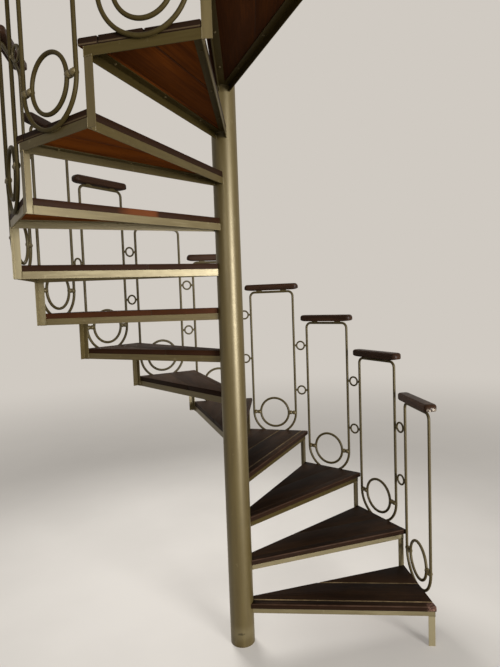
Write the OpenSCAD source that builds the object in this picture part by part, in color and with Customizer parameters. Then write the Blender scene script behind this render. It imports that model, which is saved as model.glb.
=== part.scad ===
// Spiral staircase: a round steel pole, wedge-shaped wooden treads on welded angle frames,
// an angle post at each outer corner, and a hoop rail with rings and a wooden grip on every tread.
// It turns counter-clockwise as it climbs. The origin is the centre of the pole's foot.

/* [Climb] */
// Rise from one tread to the next
rise = 200; // [170:1:220]
// Number of treads; the last one is level with the upper floor
treads = 13; // [5:1:16]
// Turn from one tread to the next, in degrees
turn = 22.9; // [20:0.05:28]
// Direction of the first corner post, seen from above, in degrees
first_post_turn = -8; // [-180:1:180]
// Distance from the pole's axis to the outer corners of the treads
corner_r = 898; // [700:1:1000]

/* [Pole] */
// Outer diameter of the pole
pole_d = 114.3; // [90:0.1:140]
// Wall of the pole
pole_wall = 3; // [2:0.5:6]
// Height of the pole above the last tread
pole_over = 30; // [10:1:100]
// Thickness of the plate that closes the foot of the pole
foot_plate_t = 8; // [4:1:16]
// Height of the rounded cap on the pole
cap_rise = 12; // [6:1:25]

/* [Treads] */
// Thickness of the wooden board
board_t = 25; // [16:1:35]
// How far the board's front edge stands out in front of its frame
nosing = 18; // [5:1:20]
// How far the board's other edges stay behind the faces of the frame
board_inset = 1; // [0.5:0.5:4]
// Clearance between the board and the pole
board_pole_gap = 0.3; // [0.1:0.1:2]
// Width of a tread frame where it meets the pole
inner_w = 52; // [46:1:95]

/* [Angle bar] */
// Leg of the angle bar of the frames and posts
angle_leg = 30; // [25:1:34]
// Thickness of the angle bar
angle_t = 3.2; // [2:0.1:5]

/* [Rail] */
// Diameter of the round bar that the hoops and big rings are bent from
bar_d = 14; // [8:0.5:16]
// Height of the middle of a hoop's top bar above its tread
hoop_top = 877; // [750:1:950]
// Bend radius of a hoop's two upper corners
hoop_bend_r = 30; // [20:1:60]
// How far a hoop's middle is shifted towards the next tread
hoop_shift = 14; // [0:1:15]
// Outer diameter of the big ring
ring_d = 195; // [150:1:210]
// Diameter of the two stubs that hold the big ring
ring_stub_d = 16.5; // [15:0.5:22]
// Outer diameter of the small rings between two hoops
link_d = 60; // [50:1:64]
// Length of the stub on each side of a small ring
link_stub_l = 5.5; // [4:0.5:12]
// Diameter of the bar of the small rings
link_bar_d = 10; // [5:0.5:12]
// Diameter of the two stubs that hold a small ring
link_stub_d = 11.5; // [6:0.5:13.5]
// Height of the upper small ring above the lower tread
link_high = 737; // [650:1:780]
// Height of the lower small ring above the lower tread
link_low = 457; // [300:1:600]

/* [Grip] */
// Length of a wooden grip
grip_l = 342; // [290:1:350]
// Width of a wooden grip
grip_w = 60; // [52:1:70]
// Height of a wooden grip
grip_h = 38; // [28:1:45]
// Corner radius of a grip seen from above
grip_corner_r = 24; // [10:1:25]
// Radius that rounds a grip's upper ends seen from the side
grip_end_r = 18; // [8:1:24]
// Gap between a hoop's top bar and its grip
grip_gap = 4; // [3:0.5:12]
// Length of each tab that carries a grip
tab_l = 36; // [20:1:60]
// Width of each tab that carries a grip
tab_w = 10; // [6:0.5:11]
// Distance from a hoop's middle to the middle of each tab
tab_place = 78; // [50:1:85]

/* [Hidden] */
$fn = 48;
pole_r = pole_d / 2;
pole_top = treads * rise + pole_over;
frame_drop = board_t + angle_leg;
outer_u = corner_r * cos(turn / 2);
outer_half = corner_r * sin(turn / 2);
edge_slope = (outer_half - inner_w / 2) / (outer_u - pole_r);
edge_angle = atan(edge_slope);
bar_r = bar_d / 2;
rail_u = outer_u + bar_r;
link_span = link_d + 2 * link_stub_l + bar_d;
link_across = 2 * hoop_shift * sin(turn / 2);
link_along = sqrt(link_span * link_span - link_across * link_across);
hoop_r = rail_u * tan(turn / 2) - link_along / (2 * cos(turn / 2));
ring_level = hoop_r - board_t;
ring_mid_r = (ring_d - bar_d) / 2;
link_mid_r = (link_d - link_bar_d) / 2;
grip_floor = hoop_top + bar_r + grip_gap;
cut = 1;

function number(n) = n < 10 ? str("0", n) : str(n);
function named(word) = [for (n = [1:treads]) str(word, number(n))];

// Direction of the middle of tread n, in degrees
function tread_turn(n) = first_post_turn + (n - 0.5) * turn;
// Half the width of a frame at distance u from the axis, moved inward by inset
function half_at(u, inset) = inner_w / 2 + edge_slope * (u - pole_r) - inset / cos(edge_angle);
// Distance from the axis at which the two sloping edges, moved inward, would meet
function apex_u(inset) = pole_r - (inner_w / 2 - inset / cos(edge_angle)) / edge_slope;
// A point of tread n's own plan, turned into the stair's plan
function place(n, u, v) = [
    u * cos(tread_turn(n)) - v * sin(tread_turn(n)),
    u * sin(tread_turn(n)) + v * cos(tread_turn(n))
];

// Stands what follows at tread n, with its top at z = 0 and its middle along +X
module at_tread(n) {
    translate([0, 0, n * rise]) rotate([0, 0, tread_turn(n)]) children();
}

// Plan of a tread frame, with its three free sides moved inward by inset
module frame_plan(inset) {
    start = max(pole_r / 2, apex_u(inset) + cut);
    end = outer_u - inset;
    polygon([
        [start, -half_at(start, inset)],
        [end, -half_at(end, inset)],
        [end, half_at(end, inset)],
        [start, half_at(start, inset)]
    ]);
}

// The pole, a straight round tube
module centre_pole() {
    color([0.47, 0.42, 0.27]) difference() {
        cylinder(h = pole_top, r = pole_r);
        translate([0, 0, -cut]) cylinder(h = pole_top + 2 * cut, r = pole_r - pole_wall);
    }
}

// The plate welded into the foot of the pole
module pole_foot_plate() {
    color([0.40, 0.36, 0.24]) cylinder(h = foot_plate_t, r = pole_r - pole_wall);
}

// The low domed cap on the pole
module pole_cap() {
    dome_r = (pole_r * pole_r + cap_rise * cap_rise) / (2 * cap_rise);
    color([0.47, 0.42, 0.27]) translate([0, 0, pole_top]) intersection() {
        translate([0, 0, cap_rise - dome_r]) sphere(r = dome_r, $fn = 200);
        cylinder(h = cap_rise + cut, r = pole_r);
    }
}

// Welded frame of angle bar: upright legs round the edge, flat legs under the board
module tread_frame(n) {
    color([0.47, 0.42, 0.27]) at_tread(n) translate([0, 0, -frame_drop]) difference() {
        linear_extrude(height = angle_leg) frame_plan(0);
        translate([0, 0, -cut]) linear_extrude(height = angle_leg - angle_t + cut) frame_plan(angle_t);
        translate([0, 0, -cut]) linear_extrude(height = angle_leg + 2 * cut) frame_plan(angle_leg);
        translate([0, 0, -cut]) cylinder(h = angle_leg + 2 * cut, r = pole_r);
    }
}

// Wedge-shaped board that lies on the frame, with its front edge standing out as a nosing
module tread_board(n) {
    start = pole_r / 2;
    end = outer_u - board_inset;
    color([0.20, 0.12, 0.09]) at_tread(n) translate([0, 0, -board_t]) difference() {
        linear_extrude(height = board_t) polygon([
            [start, -half_at(start, -nosing)],
            [end, -half_at(end, -nosing)],
            [end, half_at(end, board_inset)],
            [start, half_at(start, board_inset)]
        ]);
        translate([0, 0, -cut]) cylinder(h = board_t + 2 * cut, r = pole_r + board_pole_gap);
    }
}

// Angle post at corner n: its heel is the corner, one leg lies against the rear bar of tread n,
// and its top carries the front corner of the next frame
module corner_post(n) {
    foot = n == 0 ? 0 : n * rise - frame_drop;
    top = (n + 1) * rise - frame_drop;
    rotate([0, 0, tread_turn(n)]) translate([outer_u, outer_half, foot])
        rotate([0, 0, edge_angle]) linear_extrude(height = top - foot) polygon([
            [0, 0],
            [0, angle_leg],
            [-angle_t, angle_leg],
            [-angle_t, angle_t],
            [-angle_leg, angle_t],
            [-angle_leg, 0]
        ]);
}

module corner_posts() {
    color([0.47, 0.42, 0.27]) for (n = [0:treads - 1]) corner_post(n);
}

// A length of round bar that stands on the point at, in the plane of a rail
module upright(at, height, d) {
    translate([0, at[0], at[1]]) cylinder(h = height, d = d);
}

// A length of round bar that runs level from the point at, in the plane of a rail
module level_bar(at, length, d) {
    translate([0, at[0], at[1]]) rotate([-90, 0, 0]) cylinder(h = length, d = d);
}

// Part of a ring of round bar about the point at, in the plane of a rail
module bend(at, r, d, start, sweep) {
    translate([0, at[0], at[1]]) rotate([90, 0, 90]) rotate([0, 0, start])
        rotate_extrude(angle = sweep) translate([r, 0]) circle(d = d);
}

// Hoop of one bent bar: two uprights, a level top with bent corners and a half-round bottom
module hoop() {
    bend_level = hoop_top - hoop_bend_r;
    bend_v = hoop_r - hoop_bend_r;
    for (side = [-1, 1]) upright([side * hoop_r, ring_level], bend_level - ring_level, bar_d);
    bend([0, ring_level], hoop_r, bar_d, 180, 180);
    bend([bend_v, bend_level], hoop_bend_r, bar_d, 0, 90);
    bend([-bend_v, bend_level], hoop_bend_r, bar_d, 90, 90);
    level_bar([-bend_v, hoop_top], 2 * bend_v, bar_d);
}

// Big ring in the half-round bottom of the hoop, held by a stub on each side
module big_ring() {
    stub_l = hoop_r - ring_mid_r - bar_r / 2;
    bend([0, ring_level], ring_mid_r, bar_d, 0, 360);
    level_bar([ring_mid_r, ring_level], stub_l, ring_stub_d);
    level_bar([-ring_mid_r - stub_l, ring_level], stub_l, ring_stub_d);
}

// The two tabs on the hoop that carry the grip
module grip_tabs() {
    for (side = [-1, 1]) translate([-tab_w / 2, side * tab_place - tab_l / 2, hoop_top])
        cube([tab_w, tab_l, bar_r + grip_gap]);
}

module rail_panel(n) {
    color([0.43, 0.38, 0.25]) at_tread(n) translate([rail_u, hoop_shift, 0]) {
        hoop();
        big_ring();
        grip_tabs();
    }
}

// Small ring between the near uprights of hoops n and n + 1, with a stub to each of them
module link_ring(n, level) {
    here = place(n, rail_u, hoop_shift + hoop_r);
    there = place(n + 1, rail_u, hoop_shift - hoop_r);
    run = there - here;
    span = norm(run);
    translate([here[0], here[1], n * rise + level]) rotate([0, 0, atan2(run[1], run[0]) - 90])
        difference() {
            union() {
                bend([span / 2, 0], link_mid_r, link_bar_d, 0, 360);
                level_bar([0, 0], span / 2 - link_mid_r, link_stub_d);
                level_bar([span / 2 + link_mid_r, 0], span / 2 - link_mid_r, link_stub_d);
            }
            for (end = [0, span]) upright([end, -link_d], 2 * link_d, bar_d);
        }
}

module link_rings() {
    color([0.43, 0.38, 0.25]) for (n = [1:treads - 1]) {
        link_ring(n, link_high);
        link_ring(n, link_low);
    }
}

// Outline of a grip seen from above, with round corners
module grip_plan() {
    across = grip_w / 2 - grip_corner_r;
    along = grip_l / 2 - grip_corner_r;
    square([grip_w, 2 * along], center = true);
    square([2 * across, grip_l], center = true);
    for (x = [-across, across], y = [-along, along]) translate([x, y]) circle(r = grip_corner_r);
}

// Outline of a grip seen from the side, with its two upper ends rounded
module grip_side() {
    along = grip_l / 2 - grip_end_r;
    translate([-grip_l / 2, 0]) square([grip_l, grip_h - grip_end_r]);
    translate([-along, 0]) square([2 * along, grip_h]);
    for (y = [-along, along]) translate([y, grip_h - grip_end_r]) circle(r = grip_end_r);
}

// Wooden grip that lies on the two tabs of hoop n
module grip(n) {
    at_tread(n) translate([rail_u, hoop_shift, grip_floor]) intersection() {
        linear_extrude(height = grip_h) grip_plan();
        rotate([90, 0, 90]) linear_extrude(height = grip_w + 2 * cut, center = true) grip_side();
    }
}

module grips() {
    color([0.22, 0.13, 0.10]) for (n = [1:treads]) grip(n);
}

centre_pole();
pole_foot_plate();
pole_cap();
corner_posts();
link_rings();
grips();
for (n = [1:treads]) {
    tread_frame(n);
    tread_board(n);
    rail_panel(n);
}
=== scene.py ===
"""Dresses the frame of a spiral staircase: bronze paint, planked treads, shaped grips, welds."""

import math
import random

import bmesh
import bpy
from bpy.props import FloatProperty, FloatVectorProperty, IntProperty, PointerProperty
from mathutils import Matrix, Vector


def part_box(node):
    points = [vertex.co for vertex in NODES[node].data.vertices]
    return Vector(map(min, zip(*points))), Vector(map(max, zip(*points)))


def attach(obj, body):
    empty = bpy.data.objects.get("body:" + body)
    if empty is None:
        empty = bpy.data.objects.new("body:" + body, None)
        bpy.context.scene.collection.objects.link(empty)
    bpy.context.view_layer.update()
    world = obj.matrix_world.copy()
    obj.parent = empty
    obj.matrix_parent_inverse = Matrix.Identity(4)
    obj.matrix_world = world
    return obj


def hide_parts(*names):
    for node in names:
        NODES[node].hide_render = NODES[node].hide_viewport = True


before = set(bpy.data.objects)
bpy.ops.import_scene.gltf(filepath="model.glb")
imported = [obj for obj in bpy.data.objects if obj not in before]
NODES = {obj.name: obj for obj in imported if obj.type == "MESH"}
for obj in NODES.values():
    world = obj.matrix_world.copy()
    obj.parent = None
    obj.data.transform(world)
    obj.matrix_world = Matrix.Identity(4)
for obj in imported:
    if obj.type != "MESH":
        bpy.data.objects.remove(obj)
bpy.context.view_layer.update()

bl_info = {
    "name": "Spiral Staircase",
    "version": (1, 0, 0),
    "blender": (4, 5, 0),
    "location": "3D View > Sidebar > Staircase",
    "description": "Paint, planked treads, grips, welds and screws of a spiral staircase",
    "category": "Object",
}

# What comes from the frame: the number of treads, and sizes in metres
TREADS = sum(name.startswith("tread_board_") for name in NODES)
ALL_TREADS = range(1, TREADS + 1)
POLE_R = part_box("centre_pole")[1][0]
POLE_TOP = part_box("centre_pole")[1][2]
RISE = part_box("tread_board_02")[1][2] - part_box("tread_board_01")[1][2]
BOARD_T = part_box("tread_board_01")[1][2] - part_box("tread_board_01")[0][2]

# Angles of the climb
TURN = math.radians(22.9)
FIRST_POST = math.radians(-8.0)

# Sizes of the frames' plan, the boards, the angle bar, the rail and the grips, in metres
CORNER_R = 0.898
INNER_W = 0.052
NOSING = 0.018
BOARD_INSET = 0.001
LEG = 0.030
LEG_T = 0.0032
BAR_R = 0.007
HOOP_TOP = 0.877
HOOP_SHIFT = 0.014
RING_R = 0.0975
KNOB_PAST = 0.0105
LINK_R = 0.030
LINK_STUB_R = 0.00575
LINK_STUB_L = 0.0055
LINK_LEVELS = (0.457, 0.737)
GRIP_GAP = 0.004
GRIP_W = 0.060
GRIP_L = 0.342
GRIP_H = 0.038
GRIP_CORNER_R = 0.024
TAB_L = 0.036
TAB_W = 0.010
TAB_PLACE = 0.078

OUTER_U = CORNER_R * math.cos(TURN / 2)
OUTER_HALF = CORNER_R * math.sin(TURN / 2)
SLOPE = (OUTER_HALF - INNER_W / 2) / (OUTER_U - POLE_R)
EDGE = math.atan(SLOPE)
RAIL_U = OUTER_U + BAR_R
LINK_SPAN = 2 * (LINK_R + LINK_STUB_L + BAR_R)
LINK_ACROSS = 2 * HOOP_SHIFT * math.sin(TURN / 2)
LINK_ALONG = math.sqrt(LINK_SPAN**2 - LINK_ACROSS**2)
HOOP_R = RAIL_U * math.tan(TURN / 2) - LINK_ALONG / (2 * math.cos(TURN / 2))
RING_LEVEL = HOOP_R - BOARD_T
FRAME_LOW = -BOARD_T - LEG
FLAT_LOW = -BOARD_T - LEG_T

# By tread: how warm the board's rear edge is, where below zero a painted shade darkens its edges
# and underside; how much of the filler in its joints shows; and painted light on the frame's
# paint, a painted highlight above zero and a painted shade below it
EDGE_WARMTH_AND_SHADE = {7: 0.15, 8: 0.4, 9: 0.08, 10: 0.08, 12: -0.8, 13: -2.0}
FILLER_SHOWS = {1: 1.0, 4: 0.5}
FRAME_PAINTED_LIGHT = {1: 0.35, 2: 0.35, 3: -0.6, 4: -0.6, 9: 0.1, 10: 0.1, 11: -0.35, 12: -0.6, 13: -0.6}

# How much of the filler shows on other treads, how much less the paint with painted shade
# reflects, and the tread from which the hoops get a deeper painted shade
FILLER_FAINT = 0.1
SHADE_DULLS = 1.4
SHADED_RAILS_FROM = 10

# Heights between which the posts get a painted highlight, and how strong, or a painted shade
# where it is below zero; and the height over which that fades out
POST_LIGHT_BANDS = ((0.0, 0.18, 0.85), (0.36, 0.74, -0.4), (1.56, 1.96, 0.45))
LIGHT_BAND_FADE = 0.03

# The scuff at the pole's foot: its middle, how much it is flattened along each axis, how
# ragged its rim is, and the distances over which the dark chip and the rubbed paint fade out
SCUFF = (-0.008, -0.0565, 0.066)
SCUFF_FLAT = (1.0, 1.0, 2.6)
SCUFF_RAGGED = 0.06
SCUFF_CHIP = (0.048, 0.040)
SCUFF_RUB = (0.12, 0.02)

# By tread, where they differ from the others: width of the front strip, of the plank behind
# it and of their joints, and how deep the filler lies where it has fallen out
STRIPS = {12: 0.062}
PLANKS = {1: 0.153}
JOINTS = {1: 0.0070, 4: 0.0065, 12: 0.0050}
FILLER_DEPTH = {12: 0.012}

# How far the filler stays below the top and back from the edges, how far it reaches into the
# planks, and how many times rounder edges are where it has fallen out
FILLER_SINK = 0.0003
FILLER_SHY = 0.003
FILLER_BITE = 0.0006
OPEN_JOINT_EASING = 3.5

# Outer edges with a pale line, number of front edges that feet have rubbed most, and how
# much those, the other front strips and the planks behind them are rubbed; this also sets the
# painted highlight on their rounded upper edges
OPEN_EDGES = (11, 12)
RUBBED_NOSES = 2
RUB_MOST = 1.0
RUB_FRONT = 0.5
RUB_BEHIND = 0.2

# The chipped front corner, where the strip is cut across for it, as shares of its length, and
# the pale patch at the grip end over that tread: its length, and its height as a share of the grip's
CHIPPED_TREAD = 1
CHIP_L = 0.032
CHIP_CUTS = (1.4, 0.95)
GRIP_PATCH_L = 0.006
GRIP_PATCH_H = 0.55

# The rear edge whose varnish has rubbed through: from and to which distance from the pole's
# axis, over which lengths it fades out, and the margin that leaves out the end points
RUBBED_TREAD = 10
RUBBED_FROM = 0.36
RUBBED_TO = 0.545
RUBBED_FADES = (0.02, 0.05)
RUBBED_MARGIN = 0.001

# Screws under the boards: distances from the pole's axis, and from the frame's edge
SCREW_PLACES = (0.22, 0.48, 0.76)
SCREW_INSET = LEG * 0.55

# Lamps: place, width and height, and whether reflections show the lamp; where all of them
# aim, and how wide their light spreads
LAMPS = {
    "key": ((5.0, -6.9, 1.6), (3.1, 2.9), True),
    "side": ((-1.4, -3.6, 2.4), (1.4, 1.4), True),
    "back": ((-1.2, 3.4, 3.2), (2.0, 2.0), False),
}
LAMP_AIM = (0.0, 0.0, 1.2)
LAMP_SPREAD = math.radians(90)

# Tint of the even light, how much lighter the floor is in places, and width of the camera's
# sensor in millimetres
FILL_TINT = (1.0, 0.98, 0.95)
FLOOR_LIGHTER = 1.06
SENSOR_W = 36.0


def srgb(red, green, blue):
    """A colour given as 0 to 255 per channel, as Blender's own linear values."""
    channels = (red / 255, green / 255, blue / 255)
    return tuple(c / 12.92 if c <= 0.04045 else ((c + 0.055) / 1.055) ** 2.4 for c in channels)


def tread_turn(n):
    """Direction of the middle of tread n."""
    return FIRST_POST + (n - 0.5) * TURN


def tread_place(n):
    """Tread n's own frame: X outward along its middle, Y to the next tread, Z from its top."""
    return Matrix.Translation((0, 0, n * RISE)) @ Matrix.Rotation(tread_turn(n), 4, "Z")


def half_at(u, inset=0.0):
    """Half the width of a tread's frame at distance u from the pole's axis."""
    return INNER_W / 2 + SLOPE * (u - POLE_R) - inset / math.cos(EDGE)


def number(n):
    """A tread's number as the names of the pieces have it."""
    return f"{n:02d}"


# Settings


def colour(name, text, values):
    """A colour, its default given as 0 to 255 per channel."""
    return FloatVectorProperty(
        name=name, description=text, subtype="COLOR", size=3, min=0, max=1, default=srgb(*values)
    )


def length(name, text, value):
    """A length in metres."""
    return FloatProperty(name=name, description=text, default=value, min=0, unit="LENGTH")


def factor(name, text, value):
    """A share from 0 to 1."""
    return FloatProperty(
        name=name, description=text, default=value, min=0, max=1, subtype="FACTOR"
    )


def angle(name, text, degrees):
    """An angle, its default given in degrees."""
    return FloatProperty(
        name=name, description=text, default=math.radians(degrees), subtype="ANGLE"
    )


def power(name, text, value):
    """A lamp's power in watts."""
    return FloatProperty(name=name, description=text, default=value, min=0, unit="POWER")


def variation(text, value):
    """Where the random draws of a group of pieces start."""
    return IntProperty(name="Seed", description=text, default=value)


class StairPaint(bpy.types.PropertyGroup):
    """Bronze paint of the steelwork."""

    body: colour("Body", "Main colour of the bronze paint", (77, 65, 35))
    shade: colour("Shade", "Darker streaks of the paint", (69, 57, 29))
    bloom: colour("Bloom", "Lighter streaks of the paint", (90, 78, 48))
    # Also the colour of the painted highlight
    worn: colour("Worn", "Where the paint has rubbed thin on the edges", (130, 120, 92))
    # Also the colour of the painted shade
    grime_and_shade: colour("Grime", "Dirt that has gathered in the corners", (40, 32, 9))
    rim: colour("Rim", "Tint of the clear reflection", (250, 243, 219))
    metallic: factor("Metallic", "How metallic the paint looks", 0.3)
    roughness: factor("Roughness", "Roughness of the paint", 0.39)
    sheen_level: factor("Sheen", "Level of the clear reflection", 0.8)
    # Painted shade on the round bars, deeper on the highest ones
    depth: factor("Depth", "How much darker the round bars are", 0.6)
    shade_depth_high: factor("Upper depth", "How much darker the highest round bars are", 0.8)
    edge_round: length("Edge round", "Rounding of the angle bar's edges", 0.0007)


class StairTimber(bpy.types.PropertyGroup):
    """Boards of the treads."""

    top: colour("Top", "Stained and varnished top", (25, 15, 8))
    top_light: colour("Top light", "Lighter grain of the top", (48, 33, 21))
    edge: colour("Edge", "Edges of the boards", (30, 17, 8))
    edge_low: colour("Lower edge", "Lower part of the edges", (33, 21, 13))
    warm: colour("Warm edge", "Edges whose varnish has gone thin", (84, 45, 22))
    # The underside colours are the raw wood's, with warm bounce light from below painted in
    under: colour("Underside", "Underside of the boards", (108, 56, 13))
    under_dark: colour("Underside grain", "Dark grain of the underside", (76, 37, 9))
    filler: colour("Filler", "Filler between the planks", (136, 116, 84))
    gloss: factor("Roughness", "Roughness of the varnish", 0.56)
    sheen_level: factor("Sheen", "Level of the varnish's reflection", 0.04)
    strip_w: length("Front strip", "Width of the strip along the front edge", 0.038)
    plank_w: length("Plank", "Width of a plank", 0.138)
    joint_w: length("Joint", "Width of the joint between two planks", 0.0032)
    # Also the colour of the painted highlight on the rounded upper edges
    nose: colour("Nose", "Rounded edges that feet have rubbed", (72, 54, 43))
    bare: colour("Bare wood", "Chipped corners", (118, 88, 76))
    nose_r: length("Nose radius", "Rounding of the front edge", 0.006)
    edge_r: length("Edge round", "Rounding of the other edges", 0.0012)
    seed: variation("Varies the grain of the boards", 41)


class StairGrip(bpy.types.PropertyGroup):
    """Wooden grips on the hoops."""

    wood: colour("Wood", "Varnished wood of the grips", (33, 20, 11))
    grain: colour("Grain", "Lighter grain of the grips", (56, 36, 23))
    worn: colour("Worn", "Where hands have rubbed the varnish", (80, 58, 42))
    # A pale patch at the lower end of the lowest grip
    bare: colour("Bare wood", "Chipped end of the lowest grip", (160, 149, 134))
    roughness: factor("Roughness", "Roughness of the varnish", 0.36)
    top_round: length("Top round", "Rounding of the upper edges", 0.012)
    low_round: length("Lower round", "Rounding of the lower edges", 0.007)
    end_round: length("End round", "Rounding of the upper ends seen from the side", 0.018)
    end_lift: length("End lift", "How far the underside curves up at the ends", 0.007)
    seed: variation("Varies the grain of the grips", 11)


class StairJoin(bpy.types.PropertyGroup):
    """Weld beads and screws."""

    bead_r: length("Bead", "Radius of a weld bead", 0.0024)
    seam_r: length("Seam", "Radius of a ground weld seam", 0.0014)
    knob_r: length("Knob", "Radius of the weld lumps on the big rings", 0.0125)
    knob_half: length("Knob length", "Half the length of such a lump", 0.0135)
    screw_r: length("Screw", "Radius of a screw's head", 0.0045)
    seed: variation("Varies the welds", 7)


class StairStage(bpy.types.PropertyGroup):
    """Camera, floor and light."""

    eye: FloatVectorProperty(
        name="Camera", description="Place of the camera", subtype="TRANSLATION", unit="LENGTH",
        default=(0.0, -2.3226, 1.6272),
    )
    yaw: angle("Yaw", "Turn of the camera to the right", 2.117)
    pitch: angle("Pitch", "Tilt of the camera upward", -3.742)
    roll: angle("Roll", "Lean of the camera", -2.039)
    lens: FloatProperty(
        name="Lens", description="Focal length", default=27.16, subtype="DISTANCE_CAMERA"
    )
    floor: colour("Floor", "Colour of the plain floor", (208, 203, 196))
    floor_half: length("Floor size", "Half the width of the floor", 60.0)
    floor_near: length("Near floor", "Where the floor starts to become the background", 1.0)
    floor_far: length("Far floor", "Where the floor has become the background", 9.0)
    floor_glow: factor("Floor glow", "Share of the background in the near floor", 0.35)
    backdrop: colour("Backdrop", "Colour of the background", (208, 202, 194))
    fill: factor("Fill", "Strength of the even light from all round", 0.23)
    key_power: power("Key", "Power of the main lamp", 328.0)
    side_power: power("Side", "Power of the lamp at the side", 8.0)
    back_power: power("Back", "Power of the lamp behind", 80.0)


# Shader maths


class Wire:
    """One output of a shader node; arithmetic on it adds Math nodes."""

    def __init__(self, finish, socket):
        self.finish = finish
        self.socket = socket

    def maths(self, operation, *values):
        return self.finish.node(
            "ShaderNodeMath", {"operation": operation}, dict(enumerate(values))
        )

    def __add__(self, other):
        return self.maths("ADD", self, other)

    def __sub__(self, other):
        return self.maths("SUBTRACT", self, other)

    def __rsub__(self, other):
        return self.maths("SUBTRACT", other, self)

    def __mul__(self, other):
        return self.maths("MULTIPLY", self, other)

    __radd__ = __add__
    __rmul__ = __mul__

    def ramp(self, low, high, start=0.0, end=1.0):
        """Runs smoothly from start to end while this value goes from low to high."""
        return self.finish.node(
            "ShaderNodeMapRange",
            {"interpolation_type": "SMOOTHSTEP"},
            {"Value": self, "From Min": low, "From Max": high, "To Min": start, "To Max": end},
        )


class Finish:
    """A material under construction."""

    def __init__(self, name, **uniform):
        self.material = bpy.data.materials.new(name)
        self.material.use_nodes = True
        self.tree = self.material.node_tree
        self.shader = self.tree.nodes["Principled BSDF"]
        for socket, value in uniform.items():
            self.shader.inputs[socket.replace("_", " ")].default_value = value

    @classmethod
    def of_world(cls, name):
        """The background under construction, which has no shader of its own yet."""
        finish = cls.__new__(cls)
        finish.material = bpy.data.worlds.new(name)
        finish.material.use_nodes = True
        finish.tree = finish.material.node_tree
        finish.tree.nodes.clear()
        return finish

    def node(self, kind, settings=None, inputs=None, output=0):
        """Adds a node, makes its settings, then fills its sockets with values or wires."""
        made = self.tree.nodes.new(kind)
        for key, value in (settings or {}).items():
            setattr(made, key, value)
        for key, value in (inputs or {}).items():
            self.plug(made.inputs[key], value)
        return None if output is None else Wire(self, made.outputs[output])

    def plug(self, socket, value):
        """Gives a socket a wire or a value; a plain colour becomes a solid one."""
        if isinstance(value, Wire):
            self.tree.links.new(value.socket, socket)
        elif socket.type == "RGBA" and len(value) == 3:
            socket.default_value = (*value, 1.0)
        else:
            socket.default_value = value

    def surface(self, **wires):
        """Links what varies over the surface to the shader."""
        for name, value in wires.items():
            self.plug(self.shader.inputs[name.replace("_", " ")], value)
        return self.material

    def mix(self, amount, first, second):
        """Goes from one colour to another."""
        inputs = {0: amount, 6: first, 7: second}
        return self.node("ShaderNodeMix", {"data_type": "RGBA"}, inputs, output=2)

    def place(self):
        """Place in the staircase's own frame, in metres."""
        return self.node("ShaderNodeTexCoord", output="Object")

    def normal(self):
        """Direction in which the surface faces."""
        return self.node("ShaderNodeNewGeometry", output="Normal")

    def facing(self):
        """From -1 where the surface faces down to 1 where it faces up."""
        return self.part(self.normal(), "Z")

    def vectors(self, operation, *values, output=0):
        """Vector maths; its second output is a plain number."""
        return self.node(
            "ShaderNodeVectorMath", {"operation": operation}, dict(enumerate(values)), output
        )

    def stretched(self, source, scale):
        """A place scaled along each axis, so that a pattern on it gets longer or shorter."""
        return self.vectors("MULTIPLY", source, scale)

    def noise(self, source, scale=1.0, detail=3.0, roughness=0.5, distortion=0.0):
        names = ("Vector", "Scale", "Detail", "Roughness", "Distortion")
        values = (source, scale, detail, roughness, distortion)
        return self.node("ShaderNodeTexNoise", {}, dict(zip(names, values)))

    def attribute(self, name, output="Fac"):
        """What the mesh's points carry under that name."""
        return self.node("ShaderNodeAttribute", {"attribute_name": name}, output=output)

    def part(self, source, axis):
        """One component of a vector."""
        return self.node("ShaderNodeSeparateXYZ", {}, {0: source}, output=axis)

    def bump(self, height, distance, strength=1.0):
        inputs = {"Height": height, "Distance": distance, "Strength": strength}
        return self.node("ShaderNodeBump", {}, inputs)


def painted(name, paint, sheen=1.0):
    """The start of a finish in the bronze paint, with its even reflection."""
    level = paint.sheen_level * sheen
    return Finish(name, Specular_IOR_Level=level, Specular_Tint=(*paint.rim, 1.0))


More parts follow.
